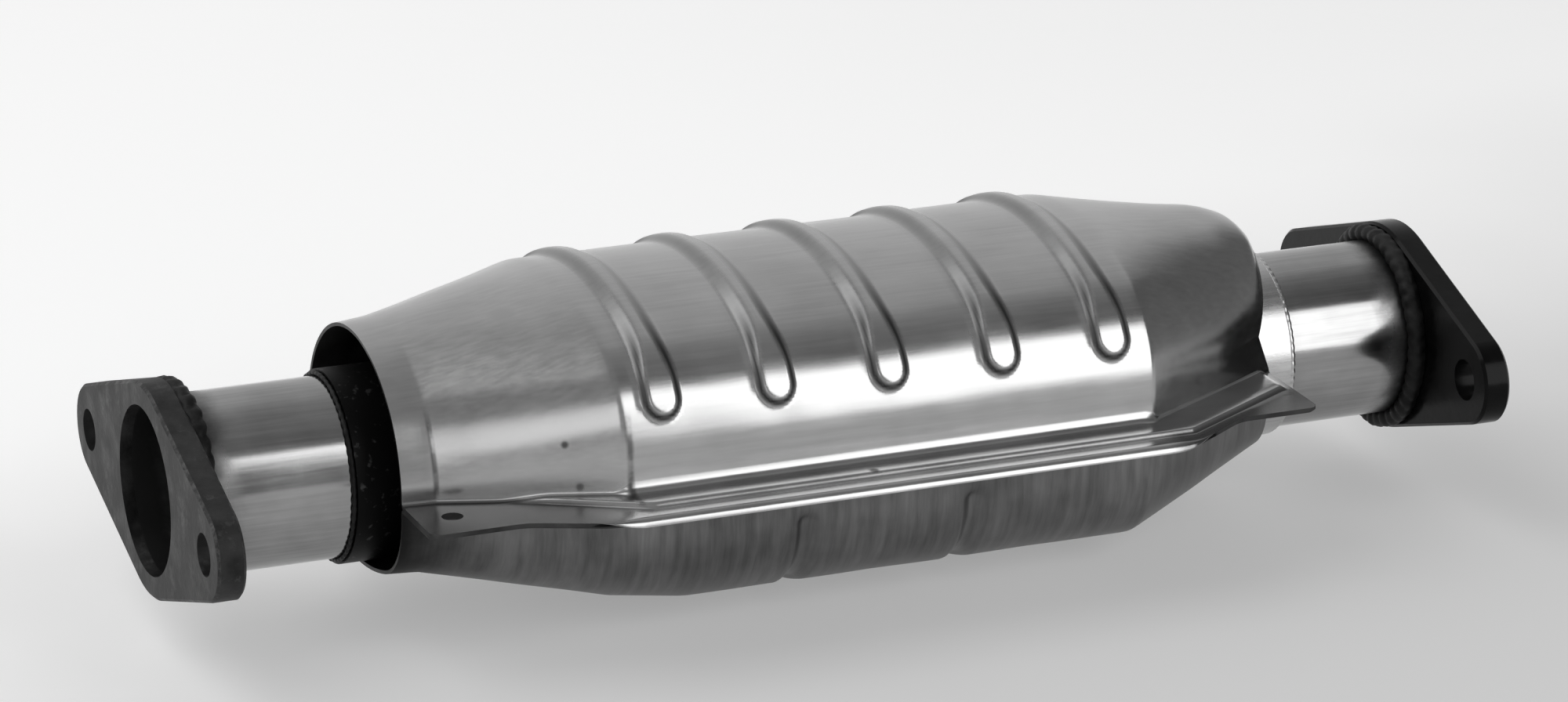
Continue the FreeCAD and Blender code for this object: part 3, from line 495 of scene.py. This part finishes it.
def flangeEdge(along, inset):
    value = foldedLine(edgeKnots(), along)
    corner = shield["cornerRound"]
    gap = min(along - shieldStart, shieldEnd - along)
    if gap < corner:
        value -= corner - math.sqrt(max(0.0, corner ** 2 - (corner - gap) ** 2))
    return value - inset


def straightLine(corners, along):
    for (start, low), (end, high) in zip(corners, corners[1:]):
        if along <= end:
            return low + (high - low) * (along - start) / (end - start)
    return corners[-1][1]


# 1 between two places, easing to 0 over a run before the first and after the second
def easeBetween(along, first, last, run):
    return easeIn(along, first - run, first) * easeIn(-along, -last - run, -last)


# where the step stands, and how much of its rise is there
def stepAcross(along, width):
    first, last = step["outline"][0][0], step["outline"][-1][0]
    place = min(last, max(first, along))
    reach = straightLine(step["outline"], place) + step["room"]
    share = easeIn(reach - width, *step["fade"]) * easeBetween(along, first, last, step["room"])
    return reach, step["rise"] * share


# the flange's outer edge, turned down by the lip where there is one, and flat elsewhere
def lipPoints(edge, lip):
    gauge = shield["gauge"]
    if lip == 0:
        return [(edge - 0.02 * number, gauge) for number in range(len(lipTurns))]
    turned = []
    for angle in map(math.radians, lipTurns):
        turned.append((edge - lip * (1 - math.cos(angle)), gauge - lip * (1 - math.sin(angle))))
    return turned


# degrees round the lip and the foot bend, then how many points the corner and crown have
lipTurns = (0, 10, 20, 30, 45, 60, 75, 90)
footTurns = (0, 12, 24, 36, 48, 60, 75)
cornerPoints, crownPoints = 39, 19


# half section from the flange's edge up to the crown, as (across, up) points
def shieldSection(along, form):
    width = foldedLine(widthKnots, along)
    height = foldedLine(heightKnots(form), along)
    wall = foldedLine(threeKnots(shield["wall"]), along)
    corner = height - wall - foldedLine(threeKnots(shield["crownRise"]), along)
    across, above = width - corner, height - wall
    crown = (across ** 2 + above ** 2 - corner ** 2) / (2 * (above - corner))
    meet = math.atan2(wall - height + crown, across)
    edge = flangeEdge(along, form["edgeInset"])
    onBox = easeBetween(along, boxFront + 2, boxRear - 2, shield["footRunout"])
    gauge = shield["gauge"]
    foot = shield["coneFootBend"] + (shield["footBend"] - shield["coneFootBend"]) * onBox
    reach, rise = stepAcross(along, width)
    level = gauge + rise
    stepAt = max(reach, width + foot + shield["footGap"] + step["width"])
    lip = form["lip"] * easeBetween(along, boxFront, boxRear, shield["lipRunout"])
    points = lipPoints(edge, lip)
    inner = points[-1][0]
    points += [(inner + (stepAt - inner) * share, gauge) for share in (0.25, 0.5, 0.75, 1)]
    for share in (0.17, 0.33, 0.5, 0.67, 0.83, 1):
        points.append((stepAt - step["width"] * share, gauge + rise * easeIn(share, 0, 1)))
    flatStart = stepAt - step["width"]
    for share in (0.25, 0.5, 0.75):
        points.append((flatStart + (width + foot - flatStart) * share, level))
    for angle in map(math.radians, footTurns):
        points.append((width + foot * (1 - math.sin(angle)), level + foot * (1 - math.cos(angle))))
    top = max(wall, level + foot + shield["leastWall"])
    for share in (0, 0.25, 0.5, 0.75):
        points.append((width, level + foot + (top - level - foot) * share))
    low = math.asin(min(0.5, (top - wall) / corner))
    for index in range(cornerPoints):
        angle = low + (meet - low) * index / (cornerPoints - 1)
        points.append((across + corner * math.cos(angle), wall + corner * math.sin(angle)))
    for index in range(1, crownPoints):
        angle = meet + (math.pi / 2 - meet) * index / (crownPoints - 1)
        points.append((crown * math.cos(angle), height - crown + crown * math.sin(angle)))
    return points


# how far apart the sections are, and how near a fold or a bead counts
spacing = {"fold": 0.5, "bead": 0.7, "rear": 1.0, "plain": 2.0, "nearFold": 2, "nearBead": 7,
           "corner": (0, 0.03, 0.1, 0.2, 0.35, 0.55, 0.8)}


def sectionStep(along, centres):
    if min(abs(along - place) for place in (lipEnd, boxFront, boxRear)) < spacing["nearFold"]:
        return spacing["fold"]
    if min(abs(along - place) for place in centres) < spacing["nearBead"]:
        return spacing["bead"]
    return spacing["rear" if along > boxRear else "plain"]


def shieldStations(row):
    first, pitch = row["First"] / mm, row["Pitch"] / mm
    centres = [first + pitch * number for number in range(row["Count"])]
    corner = shield["cornerRound"]
    places = [shieldStart + corner * share for share in spacing["corner"]]
    along = shieldStart + corner
    while along < shieldEnd - corner:
        places.append(along)
        along += sectionStep(along, centres)
    return places + [shieldEnd - corner * share for share in reversed(spacing["corner"])]


def shieldSheet(name, form, row, turnedOver):
    rows = []
    leanFrom = boxRear + shield["rearCone"] * shield["leanStart"]
    floorOfLean = form["rimShift"][0][0]
    for along in shieldStations(row):
        half = shieldSection(along, form)
        both = half + [(-y, z) for y, z in reversed(half[:-1])]
        near = easeIn(along, leanFrom, shieldEnd)
        rows.append([(along + near * straightLine(form["rimShift"], max(floorOfLean, z)), y, z)
                     for y, z in both])
    side = -1 if turnedOver else 1
    points = [(x * mm, y * mm, z * mm * side) for line in rows for x, y, z in line]
    faces = gridFaces(len(rows), len(rows[0]))
    if turnedOver:
        faces = [tuple(reversed(face)) for face in faces]
    return newPiece(name, points, faces)


# geometry nodes

def newGeometryTree(name, inputs):
    tree = bpy.data.node_groups.new(name, "GeometryNodeTree")
    tree.interface.new_socket(name="Geometry", in_out="INPUT", socket_type="NodeSocketGeometry")
    tree.interface.new_socket(name="Geometry", in_out="OUTPUT", socket_type="NodeSocketGeometry")
    for title, kind in inputs.items():
        tree.interface.new_socket(name=title, in_out="INPUT", socket_type="NodeSocket" + kind)
    return tree, tree.nodes.new("NodeGroupInput").outputs


def finishTree(tree, geometry, material):
    whole = addNode(tree, "GeometryNodeRealizeInstances", {"Geometry": geometry})
    dressed = addNode(tree, "GeometryNodeSetMaterial",
                      {"Geometry": whole.outputs[0], "Material": material})
    output = tree.nodes.new("NodeGroupOutput")
    tree.links.new(dressed.outputs[0], output.inputs[0])


def runTree(piece, tree, values):
    modifier = piece.modifiers.new(tree.name, "NODES")
    modifier.node_group = tree
    for item in tree.interface.items_tree:
        if item.in_out == "INPUT" and item.name in values:
            modifier[item.identifier] = values[item.name]


def moveAlongNormal(tree, geometry, amount):
    normal = tree.nodes.new("GeometryNodeInputNormal").outputs[0]
    offset = addNode(tree, "ShaderNodeVectorMath", {0: normal, "Scale": amount}, operation="SCALE")
    moved = addNode(tree, "GeometryNodeSetPosition",
                    {"Geometry": geometry, "Offset": offset.outputs[0]})
    return moved.outputs[0]


# heights in metres over which a bead's top narrows and its painted crease shade fades, then
# how much of that shade is left and how far it spreads, less than 1 being wider
crest = {"from": 0.030, "full": 0.042, "creaseFade": 0.008, "creaseLeft": 0.45,
         "creaseSpread": 0.6}
# a handled sheet's slight waves, which die out towards the flange
wave = {"scale": 24.0, "detail": 1.5, "middle": 0.75, "calmFrom": 0.004, "fullFrom": 0.014,
        "calmShare": 0.1}


# pushes a row of round-ended beads out of a sheet, or grooves into it, leaves the sheet
# slightly wavy, and keeps how deep each point lies in a bead's crease, for the painted shade
def pressTree():
    sizes = ("First", "Pitch", "Half Width", "Top Half Width", "Crown Half Width", "Height",
             "End Height", "Crease Top", "Waviness", "Seed")
    inputs = {"Count": "Int", **{size: "Float" for size in sizes}, "Finish": "Material"}
    tree, given = newGeometryTree("pressBeads", inputs)

    def maths(operation, *values):
        return mathNode(tree, operation, *values)

    place = tree.nodes.new("GeometryNodeInputPosition").outputs[0]
    x, _, z = separate(tree, place)
    fromFirst = maths("DIVIDE", maths("SUBTRACT", x, given["First"]), given["Pitch"])
    last = maths("SUBTRACT", given["Count"], 1.0)
    nearest = maths("ROUND", maths("MINIMUM", maths("MAXIMUM", fromFirst, 0.0), last))
    aside = maths("MULTIPLY", maths("SUBTRACT", fromFirst, nearest), given["Pitch"])
    up = maths("ABSOLUTE", z)
    below = maths("MAXIMUM", maths("SUBTRACT", given["End Height"], up), 0.0)
    away = maths("SQRT", maths("ADD", maths("MULTIPLY", aside, aside),
                               maths("MULTIPLY", below, below)))
    flat = mapRange(tree, up, crest["from"], crest["full"], given["Top Half Width"],
                    given["Crown Half Width"])
    share = mapRange(tree, away, given["Half Width"], flat, 0.0, 1.0)
    pressed = maths("MULTIPLY", share, given["Height"])
    noise = addNode(tree, "ShaderNodeTexNoise",
                    {"Vector": place, "W": given["Seed"], "Scale": wave["scale"],
                     "Detail": wave["detail"]}, noise_dimensions="4D")
    wavy = maths("MULTIPLY", maths("SUBTRACT", noise.outputs["Fac"], wave["middle"]),
                 given["Waviness"])
    calm = mapRange(tree, up, wave["calmFrom"], wave["fullFrom"], wave["calmShare"], 1.0)
    amount = maths("ADD", pressed, maths("MULTIPLY", wavy, calm))
    # the painted crease shade is deepest half way up the bead's side
    slope = maths("MULTIPLY", maths("MULTIPLY", share, maths("SUBTRACT", 1.0, share)), 4.0)
    fade = mapRange(tree, up, given["Crease Top"],
                    maths("ADD", given["Crease Top"], crest["creaseFade"]), 1.0,
                    crest["creaseLeft"])
    depth = maths("MULTIPLY", maths("POWER", slope, crest["creaseSpread"]), fade)
    kept = addNode(tree, "GeometryNodeStoreNamedAttribute",
                   {"Geometry": given["Geometry"], "Name": "paintedShadeCreaseDepth", "Value": depth},
                   data_type="FLOAT", domain="POINT")
    finishTree(tree, moveAlongNormal(tree, kept.outputs[0], amount), given["Finish"])
    return tree


pressBeads = pressTree()
boxMiddle = (boxFront + boxRear) / 2
beadRow = {
    "Count": 5, "Pitch": 33.5 * mm, "First": (boxMiddle - 2 * 33.5) * mm,
    "Half Width": 6.0 * mm, "Top Half Width": 3.7 * mm, "Crown Half Width": 0.8 * mm,
    "Height": 2.0 * mm, "End Height": 27.0 * mm, "Crease Top": 36 * mm, "Waviness": 0.9 * mm,
    "Seed": 3.0, "Finish": finish["upper"]}
grooveRow = {
    "Count": 2, "Pitch": 50.25 * mm, "First": (boxMiddle - 25.125) * mm,
    "Half Width": 4.5 * mm, "Top Half Width": 0.8 * mm, "Crown Half Width": 0.8 * mm,
    "Height": -2.0 * mm, "End Height": 14.0 * mm, "Crease Top": 50 * mm, "Waviness": 1.0 * mm,
    "Seed": 8.0, "Finish": finish["lower"]}


def drainCutter():
    sides, reach = 40, 4.0
    points, faces = [], []
    place = shieldStart + shield["drainSetback"]
    for across in (shield["drainAcross"], -shield["drainAcross"]):
        first = len(points)
        for z in (-reach, reach):
            for number in range(sides):
                angle = 2 * math.pi * number / sides
                points.append(((place + shield["drainHole"] * math.cos(angle)) * mm,
                               (across + shield["drainHole"] * math.sin(angle)) * mm, z * mm))
        for number in range(sides):
            after = (number + 1) % sides
            faces.append((first + number, first + after, first + sides + after,
                          first + sides + number))
        faces.append(tuple(first + number for number in reversed(range(sides))))
        faces.append(tuple(first + sides + number for number in range(sides)))
    return newPiece("drainCutter", points, faces)


# the sheet is drawn by its outer face; its inner face, with the drain holes' walls, and its
# cut edges have materials of their own, at these places in the list of materials: heat
# darkening and painted shadow on the inner face, painted shade on the cut edges
insideAt, cutEdgeAt = 1, 2


def makeShield(name, form, row, node, turnedOver):
    sheet = shieldSheet(name, form, row, turnedOver)
    runTree(sheet, pressBeads, row)
    bakeModifiers(sheet)
    cutter = drainCutter()
    for inner in ("insideHeatAndShadow", "cutEdgeShadow"):
        sheet.data.materials.append(finish[inner])
    for material in sheet.data.materials:
        cutter.data.materials.append(material)
    cutter.data.polygons.foreach_set("material_index", [insideAt] * len(cutter.data.polygons))
    thick = sheet.modifiers.new("gauge", "SOLIDIFY")
    thick.thickness = shield["gauge"] * mm
    thick.offset = -1
    thick.material_offset = insideAt
    thick.material_offset_rim = cutEdgeAt
    hole = sheet.modifiers.new("drain", "BOOLEAN")
    hole.object = cutter
    hole.solver = "EXACT"
    bakeModifiers(sheet)
    bpy.data.objects.remove(cutter)
    shadeSmooth(sheet, 42)
    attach(sheet, "root")
    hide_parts(node)
    print(name, "has", len(sheet.data.polygons), "faces")


makeShield("upperShield", upperForm, beadRow, "upper_heat_shield", False)
makeShield("lowerShield", lowerForm, grooveRow, "lower_heat_shield", True)


# weld rings: a round bead laid in the corner, with the cusps that a torch leaves

ringLook = {"around": 384, "across": 14, "lumpScale": 110.0, "lumpMiddle": 0.55, "slant": 500.0,
            "cornerShare": 0.355}


def weldTree():
    sizes = ("Ripple Height", "Slant", "Unevenness", "Seed")
    inputs = {"Place": "Float", "Radius": "Float", "Bead Radius": "Float", "Ripples": "Int",
              **{size: "Float" for size in sizes}, "Finish": "Material"}
    tree, given = newGeometryTree("weldRing", inputs)

    def maths(operation, *values):
        return mathNode(tree, operation, *values)

    def circle(resolution, radius):
        return addNode(tree, "GeometryNodeCurvePrimitiveCircle",
                       {"Resolution": resolution, "Radius": radius}).outputs[0]

    tube = addNode(tree, "GeometryNodeCurveToMesh",
                   {"Curve": circle(ringLook["around"], given["Radius"]),
                    "Profile Curve": circle(ringLook["across"], given["Bead Radius"])})
    shift = addNode(tree, "ShaderNodeCombineXYZ", {"X": given["Place"]})
    turned = addNode(tree, "GeometryNodeTransform",
                     {"Geometry": tube.outputs[0], "Translation": shift.outputs[0],
                      "Rotation": (0, math.pi / 2, 0)})
    place = tree.nodes.new("GeometryNodeInputPosition").outputs[0]
    x, y, z = separate(tree, place)
    beside = maths("MULTIPLY", maths("ABSOLUTE", maths("SUBTRACT", x, given["Place"])),
                   given["Slant"])
    phase = maths("ADD", maths("MULTIPLY", maths("ARCTAN2", z, y),
                               maths("DIVIDE", given["Ripples"], 2.0)), beside)
    ripple = maths("SUBTRACT", maths("ABSOLUTE", maths("SINE", phase)), 1.0)
    lumps = addNode(tree, "ShaderNodeTexNoise",
                    {"Vector": place, "W": given["Seed"], "Scale": ringLook["lumpScale"],
                     "Detail": 3.0}, noise_dimensions="4D")
    uneven = maths("MULTIPLY", maths("SUBTRACT", lumps.outputs["Fac"], ringLook["lumpMiddle"]),
                   given["Unevenness"])
    amount = maths("ADD", maths("MULTIPLY", ripple, given["Ripple Height"]), uneven)
    finishTree(tree, moveAlongNormal(tree, turned.outputs[0], amount), given["Finish"])
    return tree


weldRing = weldTree()
# corner says which end of the CAD ring lies in the corner that the weld fills; outward and
# the heights are in mm, and fullness is a share of the bead that just fills the corner
welds = {
    "inletFlangeWeld": {
        "node": "inlet_flange_weld", "corner": 0, "outward": 0.6, "fullness": 1.15,
        "ripples": 34, "rippleHeight": 0.6, "unevenness": 2.4, "finish": "burntWeld"},
    # its dark burnt colour is also painted shadow inside the shield's opening
    "inletNeckWeld": {
        "node": "inlet_neck_weld", "corner": 1, "outward": 0.0, "fullness": 0.6,
        "ripples": 60, "rippleHeight": 0.2, "unevenness": 0.5, "finish": "burntWeld"},
    "outletNeckWeld": {
        "node": "outlet_neck_weld", "corner": 0, "outward": 0.0, "fullness": 1.0,
        "ripples": 70, "rippleHeight": 0.2, "unevenness": 0.4, "finish": "shell"},
    "outletFlangeWeld": {
        "node": "outlet_flange_weld", "corner": 1, "outward": 0.3, "fullness": 1.0,
        "ripples": 44, "rippleHeight": 0.4, "unevenness": 1.6, "finish": "burntWeld"},
}


def makeWeld(name, weld, seed):
    low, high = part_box(weld["node"])
    leg = high[0] - low[0]
    inward = ringLook["cornerShare"] * leg
    place = low[0] + inward if weld["corner"] == 0 else high[0] - inward
    ring = newPiece(name, [], [])
    runTree(ring, weldRing, {
        "Place": place, "Radius": high[2] - leg + inward + weld["outward"] * mm,
        "Bead Radius": (leg - inward) * weld["fullness"], "Ripples": weld["ripples"],
        "Ripple Height": weld["rippleHeight"] * mm, "Slant": ringLook["slant"],
        "Unevenness": weld["unevenness"] * mm, "Seed": seed, "Finish": finish[weld["finish"]]})
    bakeModifiers(ring)
    shadeSmooth(ring, 60)
    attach(ring, "root")
    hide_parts(weld["node"])


for number, (name, weld) in enumerate(welds.items()):
    makeWeld(name, weld, 2.0 + number * 5.0)
print("weld rings laid:", len(welds))


# finishes of the pieces that keep their CAD shape

nodeFinish = {
    "inletFlange": ["inlet_flange"],
    "outletFlange": ["outlet_flange"],
    "pipe": ["inlet_pipe", "outlet_pipe"],
    "shell": ["upper_shell", "lower_shell"],
    "weld": ["left_seam_weld", "right_seam_weld"],
    "brick": ["front_monolith", "rear_monolith"],
    "mat": ["front_mat", "rear_mat"],
    "wire": ["front_mesh_seal", "rear_mesh_seal"],
}
for name, nodes in nodeFinish.items():
    for node in nodes:
        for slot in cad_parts[node].material_slots:
            slot.material = finish[name]
print("finishes given to the pieces that keep their shape")


# studio: a pale floor, a soft sky and three soft lamps

low, high = Vector(cadBox[0]), Vector(cadBox[1])
middle = (low + high) / 2

# painted light falloff: the paper is darker near the camera, slant turns that line, and it is
# darker at the right; cloud makes it uneven
floorLook = {"size": 9.0, "near": 0.44, "far": 0.97, "from": -0.12, "to": 0.30,
             "slant": -0.25, "cloudScale": 5.0, "cloud": 0.16,
             "rightFrom": 0.2, "rightTo": 0.75, "rightTone": 0.92, "rough": 0.9, "gloss": 0.1,
             "lift": 0.30}


def makeFloor():
    look = floorLook
    half = look["size"] / 2
    corners = ((-1, -1), (1, -1), (1, 1), (-1, 1))
    points = [(middle.x + x * half, middle.y + y * half, low.z) for x, y in corners]
    floor = newPiece("floor", points, [(0, 1, 2, 3)])
    material, tree, shader = newMaterial("paperFloor")
    place = plainPlace(tree)
    x, y, _ = separate(tree, place)
    back = mathNode(tree, "ADD", mathNode(tree, "MULTIPLY", x, look["slant"]), y)
    cloud = mathNode(tree, "MULTIPLY", noiseNode(tree, place, look["cloudScale"], 2.0),
                     look["cloud"])
    # painted light falloff: darker near the camera and towards the right
    shade = mapRange(tree, mathNode(tree, "ADD", back, cloud), look["from"], look["to"],
                     look["near"], look["far"])
    right = mapRange(tree, x, look["rightFrom"], look["rightTo"], 1.0, look["rightTone"])
    tree.links.new(mathNode(tree, "MULTIPLY", shade, right), shader.inputs["Base Color"])
    shader.inputs["Roughness"].default_value = look["rough"]
    shader.inputs["Specular IOR Level"].default_value = look["gloss"]
    # a little of the paper's own light, for the view and for what the metal mirrors
    rays = tree.nodes.new("ShaderNodeLightPath").outputs
    seen = mathNode(tree, "ADD", rays["Is Camera Ray"],
                    mathNode(tree, "ADD", rays["Is Glossy Ray"], rays["Is Transmission Ray"]))
    lift = mathNode(tree, "MULTIPLY", mathNode(tree, "MINIMUM", seen, 1.0), look["lift"])
    tree.links.new(lift, shader.inputs["Emission Strength"])
    shader.inputs["Emission Color"].default_value = (1, 1, 1, 1)
    floor.data.materials.append(material)


# brightness by height above the horizon: behind the object, before it, and at its right;
# then where one gives way to the next, and how far the right side turns to the back
skyLook = {
    "back": [(0.0, 0.68), (0.38, 0.62), (0.52, 0.60), (0.75, 0.58), (0.92, 0.40), (1.0, 0.30)],
    "front": [(0.0, 0.50), (0.2, 0.42), (0.6, 0.34), (0.85, 0.26), (1.0, 0.30)],
    "right": [(0.0, 0.20), (0.3, 0.16), (0.7, 0.14), (0.9, 0.13), (1.0, 0.30)],
    "frontToBack": (-0.15, 0.45), "leftToRight": (0.30, 0.62), "rightTurn": 0.35,
}


def makeWorld():
    world = bpy.data.worlds.new("studioWorld")
    bpy.context.scene.world = world
    world.use_nodes = True
    tree = world.node_tree
    tree.nodes.clear()
    output = tree.nodes.new("ShaderNodeOutputWorld")
    x, y, z = separate(tree, tree.nodes.new("ShaderNodeTexCoord").outputs["Generated"])
    behind = mapRange(tree, y, *skyLook["frontToBack"], 0.0, 1.0)
    aside = mathNode(tree, "SUBTRACT", x, mathNode(tree, "MULTIPLY", y, skyLook["rightTurn"]))
    atRight = mapRange(tree, aside, *skyLook["leftToRight"], 0.0, 1.0)
    shade = mixShade(tree, behind, rampNode(tree, z, skyLook["front"]),
                     rampNode(tree, z, skyLook["back"]))
    shade = mixShade(tree, atRight, shade, rampNode(tree, z, skyLook["right"]))
    sky = addNode(tree, "ShaderNodeBackground", {0: shade, 1: 1.0})
    tree.links.new(sky.outputs[0], output.inputs[0])


# places are from the middle of the object, in metres; glow is the lamp's own brightness
lamps = {
    "frontBox": {"place": (0.99, -1.70, 0.80), "aim": (0.02, 0, 0), "size": (0.98, 1.74),
                 "glow": 2.5},
    "cameraBox": {"place": (-0.86, -1.85, 0.93), "aim": (-0.08, 0, 0), "size": (0.45, 0.95),
                  "glow": 1.3},
    "leftBox": {"place": (-1.27, 0.46, 1.73), "aim": (0, 0, 0), "size": (1.8, 1.8), "glow": 1.5},
}


def makeLamp(name, look):
    light = bpy.data.lights.new(name, "AREA")
    light.shape = "RECTANGLE"
    light.size, light.size_y = look["size"]
    light.energy = look["glow"] * math.pi * light.size * light.size_y
    lamp = bpy.data.objects.new(name, light)
    bpy.context.scene.collection.objects.link(lamp)
    lamp.visible_camera = False
    lamp.location = middle + Vector(look["place"])
    facing = Vector(look["aim"]) - Vector(look["place"])
    lamp.rotation_euler = facing.to_track_quat("-Z", "Y").to_euler()


# angles in degrees, lengths in metres, and the lens and its film in mm
viewLook = {"yaw": 22.14, "pitch": 18.89, "distance": 1.83575, "lens": 149.54, "film": 36.0,
            "nearest": 0.05, "aim": (0.18788, 0.0, 0.01605)}


def makeCamera():
    camera = bpy.data.cameras.new("mainView")
    camera.lens = viewLook["lens"]
    camera.sensor_width = viewLook["film"]
    camera.clip_start = viewLook["nearest"]
    yaw, pitch = math.radians(viewLook["yaw"]), math.radians(viewLook["pitch"])
    look = Vector((math.sin(yaw) * math.cos(pitch), math.cos(yaw) * math.cos(pitch),
                   -math.sin(pitch)))
    view = bpy.data.objects.new("mainView", camera)
    view.location = Vector(viewLook["aim"]) - look * viewLook["distance"]
    view.rotation_euler = look.to_track_quat("-Z", "Y").to_euler()
    bpy.context.scene.collection.objects.link(view)
    bpy.context.scene.camera = view


makeFloor()
makeWorld()
for name, look in lamps.items():
    makeLamp(name, look)
makeCamera()
bpy.context.scene.view_settings.view_transform = "Standard"
print("studio ready")
